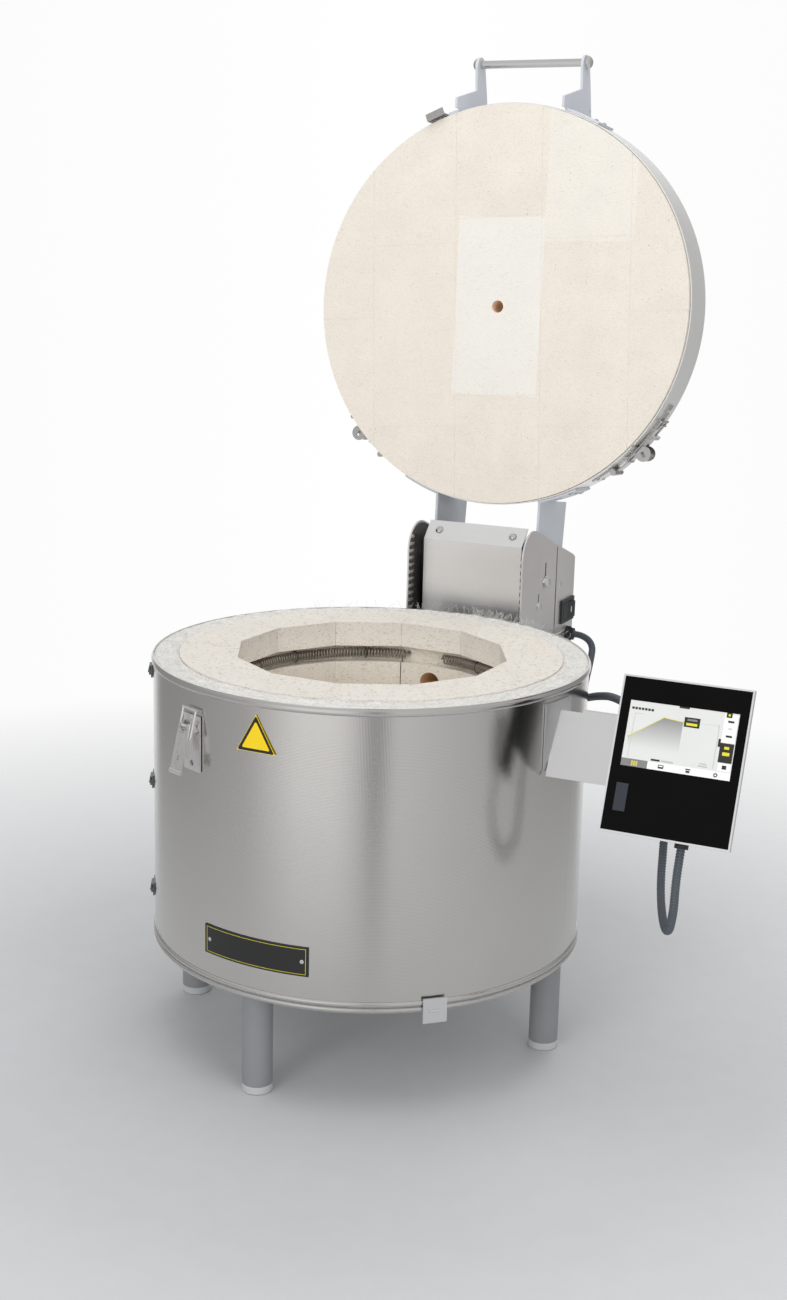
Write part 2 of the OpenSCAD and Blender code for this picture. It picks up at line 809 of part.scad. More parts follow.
module controller_housing() {
  color("#2B2D30") panel_pose() difference() {
    union() {
      translate([2.1 - panel_w / 2, 3.6, 2.1 - panel_h / 2]) cube([panel_w - 4.2, 2.2, panel_h - 4.2]);
      translate([box_inset - panel_w / 2, 5, 10 - panel_h / 2])
        cube([panel_w - 2 * box_inset, panel_d - 3, panel_h - 20]);
    }
    translate([box_inset + 2.5 - panel_w / 2, 3, 12.5 - panel_h / 2])
      cube([panel_w - 2 * box_inset - 5, panel_d - 3.5, panel_h - 25]);
    translate([14, 21, 9 - panel_h / 2]) cylinder(r = 6.2, h = 5);
  }
}

module controller_frame() {
  color("#B9BBBD") panel_pose() difference() {
    translate([-panel_w / 2, 0, -panel_h / 2]) cube([panel_w, 5.9, panel_h]);
    translate([-panel_w / 2 + 1.8, -1, -panel_h / 2 + 1.8])
      cube([panel_w - 3.6, 8, panel_h - 3.6]);
  }
}

module controller_glass() {
  color("#0E0C0C") panel_pose() difference() {
    translate([-panel_w / 2 + 2, 0.5, -panel_h / 2 + 2]) cube([panel_w - 4, 3, panel_h - 4]);
    translate([-55.5, -1, -12]) cube([111, 8, 66.5]);
    translate([-52, -1, -50]) cube([6, 8, 14]);
  }
}

module controller_screen() {
  color("#D8DAD6") panel_pose() translate([-55.3, 0.8, -11.8]) cube([110.6, 2.7, 66.1]);
}

module usb_flap() {
  color("#2F3440") panel_pose() translate([-55.3, -0.9, -57.4]) cube([12.3, 1.2, 28]);
}

module hose_socket() {
  color("#22252A") panel_pose() translate([14, 21, 10 - panel_h / 2]) difference() {
    union() {
      translate([0, 0, -7]) cylinder(r = 9, h = 6.9, $fn = 6);
      translate([0, 0, -14]) cylinder(r = 7, h = 7.5);
      translate([0, 0, -1]) cylinder(r = 6, h = 8);
    }
    translate([0, 0, -15]) cylinder(r = 3, h = 30);
  }
}

// ---------- small parts on the drum ----------

module bottom_catch() {
  color("#A4A6A7") at(-47) {
    translate([casing_r + 2.6, -13, base_z - 12]) cube([2, 26, 27]);
    translate([casing_r + 4.4, -6, base_z + 1]) rotate([-90, 0, 0]) cylinder(r = 1.6, h = 12);
  }
}

module triangle_plate() {
  color("#E6D800") at(-92.1) translate([casing_r + 0.6, 0, base_z + 282]) rotate([0, 90, 0])
    rotate([0, 0, 180]) cylinder(r = 26, h = 0.8, $fn = 3);
}

module nameplate() {
  color("#2A2A2A") difference() {
    arc_plate(casing_r + 0.3, casing_r + 1.1, -108.2, -77.9, base_z + 36, base_z + 68);
    for (a = [-106.5, -79.6]) radial(a, base_z + 52, 1.6, 240, 250);
  }
}

casing();
base_pan();
legs();
leg_glides();
casing_clamps();
fibre_wrap();
wall_bricks();
floor_bricks();
floor_board();
elements();
element_bushes();
thermocouple();
lid_bricks();
lid_cover();
lid_band_front();
lid_band_rear();
handle_brackets();
handle_bar();
handle_caps();
lid_rivets();
lid_arms();
tensioner_bases();
tensioner_keepers();
tensioner_lever_right();
tensioner_loop_right();
tensioner_lever_left();
tensioner_loop_left();
lid_keeper();
latch_base();
latch_lever();
latch_loop();
hinge_cover();
side_panels();
hinge_liners();
hinge_chassis();
hinge_shaft();
stop_bar();
stop_sleeves();
mount_brackets();
housing_screws();
box_shell();
box_front();
switch_bezel();
switch_rocker();
relay();
terminal_block();
hose_gland();
mains_gland();
hose();
controller_bracket();
controller_arm();
controller_housing();
controller_frame();
controller_glass();
controller_screen();
usb_flap();
hose_socket();
bottom_catch();
triangle_plate();
nameplate();
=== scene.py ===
"""Looks for the round table-top glass kiln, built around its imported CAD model. Metres."""
import math
import random

import bmesh
import bpy
from mathutils import Matrix, Vector, noise


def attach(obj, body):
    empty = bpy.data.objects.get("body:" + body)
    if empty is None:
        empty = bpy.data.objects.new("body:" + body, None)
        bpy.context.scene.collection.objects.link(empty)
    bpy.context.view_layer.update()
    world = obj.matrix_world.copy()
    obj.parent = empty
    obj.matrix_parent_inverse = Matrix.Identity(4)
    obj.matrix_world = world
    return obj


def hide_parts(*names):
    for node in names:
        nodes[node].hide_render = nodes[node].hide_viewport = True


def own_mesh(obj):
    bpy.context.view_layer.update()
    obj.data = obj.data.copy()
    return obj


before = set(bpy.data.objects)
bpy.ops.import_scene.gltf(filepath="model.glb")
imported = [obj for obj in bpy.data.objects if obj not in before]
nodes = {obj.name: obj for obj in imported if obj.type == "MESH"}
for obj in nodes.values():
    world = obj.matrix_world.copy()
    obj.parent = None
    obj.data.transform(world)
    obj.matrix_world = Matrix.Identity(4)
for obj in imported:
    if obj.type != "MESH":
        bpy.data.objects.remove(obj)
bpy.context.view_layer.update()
scene = bpy.context.scene
MM = 0.001

# ---------------------------------------------------------------- geometry facts
PIVOT = Vector((0, 0.340, 0.473))
LID_OPEN = math.radians(94.6)
LID = Matrix.Translation(PIVOT) @ Matrix.Rotation(-LID_OPEN, 4, "X") @ Matrix.Translation(-PIVOT)
PANEL = Matrix.Translation((0.3834, -0.100, 0.3993)) @ Matrix.Rotation(math.radians(-22), 4, "X")
CASING_R = 0.243
BRICK_TOP = 0.443
HOSE_DIA = 0.009


def polar(r, deg, z):
    """Point at a radius, an angle in degrees and a height."""
    a = math.radians(deg)
    return Vector((r * math.cos(a), r * math.sin(a), z))


# ---------------------------------------------------------------- camera
AZ, EL, ROLL = math.radians(25.16), math.radians(13.34), math.radians(1.35)
TARGET = Vector((0.0268, 0, 0.4473))
DISTANCE = 1.917
back = Vector((math.sin(AZ) * math.cos(EL), -math.cos(AZ) * math.cos(EL), math.sin(EL)))
right = Vector((math.cos(AZ), math.sin(AZ), 0))
up = back.cross(right)
cam_x = right * math.cos(ROLL) + up * math.sin(ROLL)
cam_y = up * math.cos(ROLL) - right * math.sin(ROLL)
cam_data = bpy.data.cameras.new("camera")
cam_data.sensor_width = 36
cam_data.lens = 47.65
cam_data.clip_end = 50
camera = bpy.data.objects.new("camera", cam_data)
scene.collection.objects.link(camera)
pos = TARGET + back * DISTANCE
camera.matrix_world = Matrix((
    (cam_x.x, cam_y.x, back.x, pos.x),
    (cam_x.y, cam_y.y, back.y, pos.y),
    (cam_x.z, cam_y.z, back.z, pos.z),
    (0, 0, 0, 1)))
scene.camera = camera


# ---------------------------------------------------------------- mesh helpers
def from_bm(name, bm, mat, smooth=True):
    """Object made of a finished bmesh, with its faces turned outward and one material."""
    bmesh.ops.recalc_face_normals(bm, faces=bm.faces)
    mesh = bpy.data.meshes.new(name)
    bm.to_mesh(mesh)
    bm.free()
    mesh.materials.append(mat)
    for p in mesh.polygons:
        p.use_smooth = smooth
    obj = bpy.data.objects.new(name, mesh)
    scene.collection.objects.link(obj)
    return obj


def bevel(obj, width):
    """Rounds an object's sharp edges."""
    mod = obj.modifiers.new("edge", "BEVEL")
    mod.width = width
    mod.segments = 2
    mod.limit_method = "ANGLE"
    mod.angle_limit = math.radians(40)
    mod.harden_normals = False


def catmull(points, steps):
    """The same smooth curve the CAD route follows."""
    out = []
    n = len(points)
    for i in range(n - 1):
        a, b = points[max(i - 1, 0)], points[i]
        c, d = points[i + 1], points[min(i + 2, n - 1)]
        for k in range(steps):
            t = k / steps
            out.append(0.5 * ((2 * b) + (c - a) * t + (2 * a - 5 * b + 4 * c - d) * t * t
                              + (3 * b - a - 3 * c + d) * t ** 3))
    out.append(points[-1])
    return out


def resample(points, step):
    """Points at even steps along a polyline, and its last point."""
    out, s, walked = [], 0.0, 0.0
    for a, b in zip(points, points[1:]):
        seg = (b - a).length
        while s <= walked + seg:
            out.append(a.lerp(b, (s - walked) / seg))
            s += step
        walked += seg
    return out + [points[-1]]


def loft(bm, rings, closed=False):
    """Joins rings of vertices; closed joins the last to the first, else both ends are capped."""
    n = len(rings[0])
    pairs = list(zip(rings, rings[1:]))
    if closed:
        pairs.append((rings[-1], rings[0]))
    for q, w in pairs:
        for k in range(n):
            bm.faces.new((q[k], q[(k + 1) % n], w[(k + 1) % n], w[k]))
    if not closed:
        bm.faces.new(list(reversed(rings[0])))
        bm.faces.new(rings[-1])


def tube(bm, path, radius, sides):
    """Adds a round tube along a path; radius is a number or a function of the distance walked."""
    rings = []
    walked = 0.0
    normal = None
    for i, p in enumerate(path):
        t = (path[min(i + 1, len(path) - 1)] - path[max(i - 1, 0)]).normalized()
        if normal is None:
            normal = t.orthogonal().normalized()
        normal = (normal - t * normal.dot(t)).normalized()
        side = t.cross(normal)
        if i:
            walked += (p - path[i - 1]).length
        r = radius(walked) if callable(radius) else radius
        rings.append([bm.verts.new(p + r * (math.cos(a) * normal + math.sin(a) * side))
                      for a in (2 * math.pi * k / sides for k in range(sides))])
    loft(bm, rings)


# ---------------------------------------------------------------- hose
HOSE_POINTS = [Vector(p) * MM for p in (
    (88.2, 430, 389), (97.5, 429.2, 388.5), (107.3, 425.7, 386.3), (115.3, 419.8, 382.6),
    (120.8, 412, 377.8), (123.7, 403.4, 372.4), (127.5, 387, 364.5), (132, 368, 358.5),
    (138, 344, 354.5), (147, 313, 352.5), (159, 275, 355), (173, 235, 360.5),
    (190, 190, 370.5), (211, 142, 385), (238, 94, 401), (268, 46, 415),
    (298, 5, 420), (324, -18, 411), (342, -29, 388), (354, -37, 352),
    (360, -43, 312), (361, -46, 282), (361.2, -47.8, 262), (363, -52, 243.5),
    (367.5, -61.5, 228.5), (374.5, -76, 219.5), (382, -92, 218.5), (389, -107, 225.5),
    (394, -118, 239), (397, -123.5, 256.5), (397.4, -123.5, 274), (397.4, -120, 292),
    (397.4, -111.8, 314))]


def hose():
    """Corrugated hose, its ribs worked out along the route."""
    coarse = catmull(HOSE_POINTS, 24)
    pitch = 0.0030
    fine = resample(coarse, pitch / 6)

    def radius(at):
        """Radius at a distance from the start, full at the top of a rib."""
        wave = 0.5 + 0.5 * math.cos(2 * math.pi * at / pitch)
        return HOSE_DIA / 2 * (0.83 + 0.17 * wave ** 0.6)

    bm = bmesh.new()
    tube(bm, fine, radius, 20)
    obj = from_bm("hose_corrugated", bm, MAT["hose"])
    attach(obj, "kiln")
    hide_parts("hose")


# ---------------------------------------------------------------- shader node helpers
def material(name, metallic=0.0, roughness=0.5, specular=0.5):
    """New material, its node tree and its shader."""
    m = bpy.data.materials.new(name)
    m.use_nodes = True
    bsdf = m.node_tree.nodes["Principled BSDF"]
    bsdf.inputs["Metallic"].default_value = metallic
    bsdf.inputs["Roughness"].default_value = roughness
    bsdf.inputs["Specular IOR Level"].default_value = specular
    return m, m.node_tree, bsdf


def add(nt, kind, **props):
    """New node; a prop with an input's name sets that input, any other sets the node."""
    n = nt.nodes.new(kind)
    for k, v in props.items():
        if k in n.inputs:
            n.inputs[k].default_value = v
        else:
            setattr(n, k, v)
    return n


def wire(nt, a, b):
    """Links an output to an input."""
    nt.links.new(a, b)


def object_coords(nt):
    """Position in the shared frame."""
    return add(nt, "ShaderNodeTexCoord").outputs["Object"]


def scaled(nt, vec, scale):
    """A vector with each axis scaled."""
    n = add(nt, "ShaderNodeMapping", Scale=scale)
    wire(nt, vec, n.inputs["Vector"])
    return n.outputs["Vector"]


def moved(nt, vec, by):
    """A vector moved by a fixed amount."""
    n = add(nt, "ShaderNodeVectorMath", operation="ADD")
    n.inputs[1].default_value = by
    wire(nt, vec, n.inputs[0])
    return n.outputs[0]


def rotated(nt, vec, axis, angle):
    """A vector turned about the X or Z axis."""
    n = add(nt, "ShaderNodeVectorRotate", rotation_type=axis + "_AXIS", Angle=angle)
    wire(nt, vec, n.inputs["Vector"])
    return n.outputs[0]


def separate(nt, vec):
    """The three parts of a vector."""
    n = add(nt, "ShaderNodeSeparateXYZ")
    wire(nt, vec, n.inputs[0])
    return n.outputs


def noise_tex(nt, vec, scale, detail=3.0, rough=0.55):
    """Value of a fractal noise."""
    n = add(nt, "ShaderNodeTexNoise", Scale=scale, Detail=detail, Roughness=rough)
    wire(nt, vec, n.inputs["Vector"])
    return n.outputs["Fac"]


def voronoi(nt, vec, scale):
    """Outputs of a cell texture."""
    n = add(nt, "ShaderNodeTexVoronoi", Scale=scale)
    wire(nt, vec, n.inputs["Vector"])
    return n.outputs


def ramp(nt, fac, stops):
    """Colour ramp through stops of (position, colour)."""
    r = add(nt, "ShaderNodeValToRGB")
    el = r.color_ramp.elements
    while len(el) < len(stops):
        el.new(0.5)
    for e, (at, col) in zip(el, stops):
        e.position = at
        e.color = (*col, 1)
    wire(nt, fac, r.inputs["Fac"])
    return r.outputs["Color"]


def grey(v):
    """Neutral colour of one value."""
    return (v, v, v)


def tones(color, var):
    """A darker and a lighter neighbour of a colour."""
    return tuple(c * (1 - var) for c in color), tuple(min(1, c * (1 + var)) for c in color)


def math_node(nt, op, a, b=None, clamp=False):
    """Result of one sum on outputs or plain numbers."""
    n = add(nt, "ShaderNodeMath", operation=op, use_clamp=clamp)
    for i, v in enumerate((a, b)):
        if v is None:
            continue
        if isinstance(v, (int, float)):
            n.inputs[i].default_value = v
        else:
            wire(nt, v, n.inputs[i])
    return n.outputs[0]


def times(nt, a, b, clamp=False):
    """Product of two outputs or numbers."""
    return math_node(nt, "MULTIPLY", a, b, clamp)


def between(nt, value, low, high):
    """One inside a range and zero outside it."""
    return times(nt, math_node(nt, "GREATER_THAN", value, low), math_node(nt, "LESS_THAN", value, high))


def from_axis(nt, a, b):
    """Distance from an axis, out of the two parts across it."""
    return math_node(nt, "SQRT", math_node(nt, "ADD", times(nt, a, a), times(nt, b, b)))


def mix_color(nt, fac, a, b, blend="MIX"):
    """Mix of two colours, each an output or a plain colour."""
    n = add(nt, "ShaderNodeMix", data_type="RGBA", blend_type=blend)
    for sock, v in ((n.inputs[0], fac), (n.inputs[6], a), (n.inputs[7], b)):
        if isinstance(v, (int, float)):
            sock.default_value = v
        elif isinstance(v, tuple):
            sock.default_value = (*v, 1)
        else:
            wire(nt, v, sock)
    return n.outputs[2]


def bump(nt, bsdf, height, strength, distance):
    """Surface relief from a height."""
    b = add(nt, "ShaderNodeBump", Strength=strength, Distance=distance)
    wire(nt, height, b.inputs["Height"])
    wire(nt, b.outputs["Normal"], bsdf.inputs["Normal"])


# ---------------------------------------------------------------- materials
def shade_steel(nt, bsdf, vec, streak, color, rough, var):
    """Colour and roughness that follow fine streaks and a slow change of tone."""
    lo, hi = tones(color, var)
    fine = ramp(nt, streak, [(0.3, lo), (0.7, hi)])
    slow = ramp(nt, noise_tex(nt, vec, 9.0), [(0.35, lo), (0.65, hi)])
    wire(nt, mix_color(nt, 0.5, fine, slow), bsdf.inputs["Base Color"])
    polish = [(0.25, grey(max(rough - 0.05, 0.03))), (0.75, grey(rough + 0.06))]
    wire(nt, ramp(nt, streak, polish), bsdf.inputs["Roughness"])


def steel(name, color, rough, grain=(600, 600, 8), strength=0.05, var=0.06, metal=1.0):
    """Sheet or bar steel with a grain stretched along one axis."""
    m, nt, bsdf = material(name, metallic=metal)
    vec = object_coords(nt)
    streak = noise_tex(nt, scaled(nt, vec, grain), 1.0, 4.0)
    shade_steel(nt, bsdf, vec, streak, color, rough, var)
    bump(nt, bsdf, streak, strength, 0.0001)
    return m


def linen_steel(name, color, rough, strength, var):
    """Drum sheet with a fine woven pattern rolled into it, laid out round the drum."""
    m, nt, bsdf = material(name, metallic=1.0)
    vec = object_coords(nt)
    x, y, z = separate(nt, vec)
    u = times(nt, math_node(nt, "ARCTAN2", y, x), CASING_R)
    flat = add(nt, "ShaderNodeCombineXYZ")
    wire(nt, u, flat.inputs[0])
    wire(nt, z, flat.inputs[1])
    weave = 2 * math.pi / 0.0021 * math.sqrt(0.5)
    threads = [math_node(nt, "SINE", times(nt, math_node(nt, op, u, z), weave))
               for op in ("ADD", "SUBTRACT")]
    streak = noise_tex(nt, scaled(nt, flat.outputs[0], (330, 330, 1)), 1.0, 4.0)
    shade_steel(nt, bsdf, vec, streak, color, rough, var)
    bump(nt, bsdf, times(nt, *threads), strength, 0.00012)
    return m


def painted(name, color, rough=0.4, orange=900.0, strength=0.08, var=0.05, metal=0.0, specular=0.5):
    """Paint or plastic with a fine orange-peel surface."""
    m, nt, bsdf = material(name, metallic=metal, specular=specular)
    vec = object_coords(nt)
    big = noise_tex(nt, vec, 14.0, 4.0)
    lo, hi = tones(color, var)
    wire(nt, ramp(nt, big, [(0.3, lo), (0.7, hi)]), bsdf.inputs["Base Color"])
    wire(nt, ramp(nt, big, [(0.3, grey(rough - 0.05)), (0.7, grey(rough + 0.06))]), bsdf.inputs["Roughness"])
    bump(nt, bsdf, noise_tex(nt, vec, orange, 2.0), strength, 0.0002)
    return m


def lid_coords(nt):
    """Coordinates in the closed lid's frame, for a node that lies in the open pose."""
    turned = rotated(nt, moved(nt, object_coords(nt), -PIVOT), "X", LID_OPEN)
    return separate(nt, rotated(nt, moved(nt, turned, PIVOT), "Z", math.radians(0.9)))


def firebrick(name, color, speck=(0.42, 0.27, 0.15), zones=None, pits=0.35):
    """Insulating firebrick: fine open pores, painted shade in its pits, rust specks and a slow change of
    tone.
    """
    m, nt, bsdf = material(name, roughness=0.93, specular=0.15)
    vec = object_coords(nt)
    lo, hi = tones(color, 0.03)
    base = ramp(nt, noise_tex(nt, vec, 22.0, 4.0), [(0.3, lo), (0.7, hi)])
    fine = noise_tex(nt, vec, 700.0, 3.0, 0.7)
    grain = ramp(nt, fine, [(0.30, grey(0.88)), (0.5, grey(1.0)), (0.75, grey(1.03))])
    base = mix_color(nt, 1.0, base, grain, "MULTIPLY")
    if zones:
        base = zones(nt, base)
    for scale, size, amount in ((230.0, 0.10, 0.40), (95.0, 0.06, 0.70), (520.0, 0.12, 0.30)):
        cells = voronoi(nt, vec, scale)
        draw = add(nt, "ShaderNodeSeparateColor")
        wire(nt, cells["Color"], draw.inputs[0])
        near = math_node(nt, "LESS_THAN", cells["Distance"], size)
        some = math_node(nt, "GREATER_THAN", draw.outputs[0], 0.80)
        shade = mix_color(nt, draw.outputs[1], speck, (0.20, 0.13, 0.08))
        base = mix_color(nt, times(nt, times(nt, near, some), amount), base, shade)
    worm = noise_tex(nt, scaled(nt, vec, (1.0, 1.0, 2.4)), 260.0, 3.0, 0.6)
    pit = ramp(nt, worm, [(0.36, grey(0)), (0.46, grey(1))])
    # Painted shade: the colour darkens in the pits that the bump sinks, more with a larger pits.
    painted_pit_shade = ramp(nt, worm, [(0.33, grey(1 - 0.5 * pits)), (0.43, grey(1))])
    wire(nt, mix_color(nt, 1.0, base, painted_pit_shade, "MULTIPLY"), bsdf.inputs["Base Color"])
    height = math_node(nt, "ADD", voronoi(nt, vec, 900.0)["Distance"], pit)
    bump(nt, bsdf, height, pits, 0.0006)
    return m


def lid_zones(nt, base):
    """Bricks of slightly different firing, and a warmer tone inside the vent hole."""
    u, v, _ = lid_coords(nt)
    for u0, u1, v0, v1, amount, tone in (
            (-0.057, 0.057, -0.109, 0.109, 0.55, (0.885, 0.885, 0.855)),
            (0.057, 0.171, -0.26, -0.080, 0.35, (0.90, 0.89, 0.85)),
            (-0.171, -0.057, -0.080, 0.148, 0.25, (0.86, 0.79, 0.69))):
        brick = times(nt, between(nt, u, u0, u1), between(nt, v, v0, v1))
        base = mix_color(nt, times(nt, brick, amount), base, tone)
    centimetres = times(nt, from_axis(nt, u, v), 100.0, clamp=True)
    hole = ramp(nt, centimetres, [(0.755, grey(1)), (0.80, grey(0))])
    return mix_color(nt, hole, base, (0.95, 0.74, 0.55))


def wall_zones(nt, base):
    """Vent hole with a warmer, darker tone inside it, and painted light: the walls inside the chamber are
    lighter and warmer than the rim top.
    """
    vent_angle, vent_z = math.radians(87.6), 0.3735
    out, across, z = separate(nt, rotated(nt, object_coords(nt), "Z", -vent_angle))
    from_vent = from_axis(nt, across, math_node(nt, "SUBTRACT", z, vent_z))
    hole = ramp(nt, times(nt, from_vent, 50.0, clamp=True), [(0.655, grey(1)), (0.68, grey(0))])
    hole = times(nt, hole, between(nt, out, 0.149, 0.25))
    # Painted light: the rim top is toned down to about the lid bricks' colour, and the walls below it stay
    # lighter and warmer, standing in for light inside the chamber.
    painted_chamber_light = ramp(nt, times(nt, z, 2.0, clamp=True),
                [(0.62, (1.0, 0.98, 0.95)), (0.84, grey(1.0)), (0.884, (0.845, 0.85, 0.86))])
    base = mix_color(nt, 1.0, base, painted_chamber_light, "MULTIPLY")
    return mix_color(nt, hole, base, (0.95, 0.68, 0.43))


def fibre_blanket(name, color):
    """Matted white fibre: fine clumps, with painted shade in the hollows between them and painted light on
    their tops.
    """
    m, nt, bsdf = material(name, roughness=0.97, specular=0.1)
    vec = object_coords(nt)
    clump = noise_tex(nt, vec, 330.0, 5.0, 0.7)
    # Painted shade and light: the colour follows the clump height that the bump uses, darker in the hollows
    # and lighter on the tops.
    base = ramp(nt, clump, [(0.34, tuple(c * 0.80 for c in color)), (0.50, color),
                            (0.68, tuple(min(1, c * 1.10) for c in color))])
    tone = ramp(nt, noise_tex(nt, vec, 55.0), [(0.35, grey(0.95)), (0.65, grey(1.03))])
    wire(nt, mix_color(nt, 1.0, base, tone, "MULTIPLY"), bsdf.inputs["Base Color"])
    bump(nt, bsdf, clump, 0.9, 0.0012)
    return m


MAT = {
    "drum": linen_steel("drum_linen_steel", (0.60, 0.585, 0.565), 0.15, strength=0.14, var=0.02),
    "pan": steel("base_pan_steel", (0.60, 0.59, 0.57), 0.26, grain=(30, 30, 900), strength=0.04),
    "band": steel("lid_band_steel", (0.95, 0.945, 0.935), 0.42, grain=(8, 8, 700), strength=0.05,
                  var=0.03, metal=0.8),
    "cover": steel("cover_sheet_steel", (0.92, 0.92, 0.925), 0.36, grain=(6, 900, 900), strength=0.04,
                   var=0.03),
    "sheet": steel("housing_sheet_steel", (0.90, 0.87, 0.86), 0.42, grain=(900, 10, 10), strength=0.05,
                   var=0.04),
    "arm_plate": steel("arm_sheet_steel", (0.74, 0.74, 0.745), 0.34, grain=(6, 900, 900), strength=0.05,
                       var=0.03),
    "bright": steel("bright_steel", (0.66, 0.655, 0.65), 0.14, grain=(40, 900, 900), strength=0.04),
    "latch": steel("latch_steel", (0.86, 0.85, 0.84), 0.22, grain=(500, 500, 50), strength=0.08,
                   var=0.12),
    "tensioner": steel("tensioner_steel", (0.50, 0.49, 0.48), 0.24, grain=(500, 500, 50), strength=0.08,
                       var=0.12),
    "dark_clip": steel("dark_clip_steel", (0.16, 0.16, 0.17), 0.35, grain=(700, 700, 60), strength=0.08),
    "arm_paint": painted("arm_grey_blue_paint", (0.645, 0.675, 0.725), 0.38),
    "leg_paint": painted("leg_grey_paint", (0.258, 0.267, 0.276), 0.42),
    "glide": painted("glide_plastic", (0.52, 0.54, 0.54), 0.5, 300.0),
    # Painted light: the wall brick is lighter than the lid brick, so the chamber inside reads bright;
    # wall_zones tones the rim top back down.
    "brick": firebrick("wall_firebrick", (0.985, 0.925, 0.84), zones=wall_zones, pits=0.55),
    "lid_brick": firebrick("lid_firebrick", (0.845, 0.785, 0.70), zones=lid_zones, pits=0.18),
    "floor_brick": firebrick("floor_firebrick", (0.80, 0.71, 0.60)),
    "board": firebrick("floor_board", (0.78, 0.75, 0.70), speck=(0.6, 0.55, 0.5)),
    "fibre": fibre_blanket("fibre_blanket", (0.79, 0.78, 0.75)),
    "wire": steel("element_wire", (0.43, 0.39, 0.35), 0.30, grain=(300, 300, 300), strength=0.1, var=0.25,
                  metal=0.85),
    "porcelain": painted("porcelain", (0.82, 0.79, 0.72), 0.25, 200.0, 0.03),
    "black": painted("black_plastic", (0.022, 0.024, 0.027), 0.42, 1400.0, 0.15, 0.15),
    # Partly painted shade: black-coated perforated cheeks, with the same black sheet standing in for the
    # shade inside the hinge's left side panel.
    "liner": painted("black_cheek_and_shade_liner", (0.030, 0.029, 0.027), 0.30, 900.0, 0.1, 0.2),
    "rubber": painted("black_rubber", (0.015, 0.015, 0.015), 0.75, 800.0, 0.2, 0.2),
    "hose": painted("hose_plastic", (0.072, 0.085, 0.10), 0.32, 600.0, 0.05, 0.15),
    "trim": steel("silver_trim", (0.88, 0.885, 0.89), 0.40, grain=(30, 900, 900), strength=0.03),
    "glass": painted("black_glass", (0.0035, 0.003, 0.003), 0.10, 60.0, 0.0, 0.1, specular=0.06),
    "screen": painted("screen_panel", (0.74, 0.75, 0.735), 0.16, 60.0, 0.0, 0.015),
    "flap": painted("flap_plastic", (0.021, 0.026, 0.037), 0.35, 900.0, 0.1),
    "yellow": painted("yellow_film", (0.93, 0.66, 0.005), 0.38, 400.0, 0.03),
    "black_ink": painted("black_ink", (0.010, 0.009, 0.008), 0.40, 500.0, 0.03),
    "plate": painted("nameplate_black", (0.012, 0.012, 0.012), 0.30, 400.0, 0.03),
    "relay": painted("relay_plastic", (0.03, 0.03, 0.033), 0.5, 600.0, 0.1),
    "ui_white": painted("screen_white", (0.90, 0.905, 0.90), 0.2, 60.0, 0.0, 0.01),
    "ui_grey": painted("screen_grey", (0.22, 0.22, 0.22), 0.25, 60.0, 0.0, 0.03),
    "ui_line": painted("screen_line", (0.50, 0.50, 0.49), 0.25, 60.0, 0.0, 0.02),
    "ui_dark": painted("screen_dark", (0.018, 0.017, 0.013), 0.2, 60.0, 0.0, 0.05),
    "ui_yellow": painted("screen_yellow", (0.80, 0.70, 0.02), 0.25, 60.0, 0.0, 0.03),
    "joint": painted("lid_joint_cement", (0.80, 0.73, 0.64), 0.95, 500.0, 0.3, 0.02),
    "mark": painted("white_mark", (0.75, 0.75, 0.73), 0.45, 400.0, 0.02),
}

CAD_LOOK = {
    "drum": ["casing"], "pan": ["base_pan"],
    "band": ["lid_band_front", "lid_band_rear", "lid_cover"],
    "cover": ["hinge_cover"],
    "sheet": ["side_panels", "box_shell", "mount_brackets", "hinge_chassis", "box_front"],
    "arm_plate": ["controller_bracket", "controller_arm", "bottom_catch"],
    "bright": ["handle_bar", "handle_caps", "lid_rivets", "hinge_shaft", "stop_bar", "housing_screws"],
    "latch": ["latch_base", "latch_lever", "latch_loop"],
    "tensioner": ["tensioner_bases", "tensioner_keepers", "tensioner_lever_right", "tensioner_loop_right",
                  "tensioner_lever_left", "tensioner_loop_left", "lid_keeper"],
    "dark_clip": ["casing_clamps"],
    "arm_paint": ["handle_brackets", "lid_arms"],
    "leg_paint": ["legs"], "glide": ["leg_glides"],
    "brick": ["wall_bricks"], "floor_brick": ["floor_bricks"],
    "lid_brick": ["lid_bricks"], "board": ["floor_board"],
    "fibre": ["fibre_wrap"], "wire": ["elements"],
    "porcelain": ["element_bushes", "thermocouple", "terminal_block"],
    "liner": ["hinge_liners"],
    "black": ["switch_bezel", "switch_rocker", "hose_gland", "mains_gland", "hose_socket",
              "controller_housing"],
    "rubber": ["stop_sleeves"], "trim": ["controller_frame"], "glass": ["controller_glass"],
    "screen": ["controller_screen"], "flap": ["usb_flap"], "yellow": ["triangle_plate"],
    "plate": ["nameplate"], "relay": ["relay"],
}
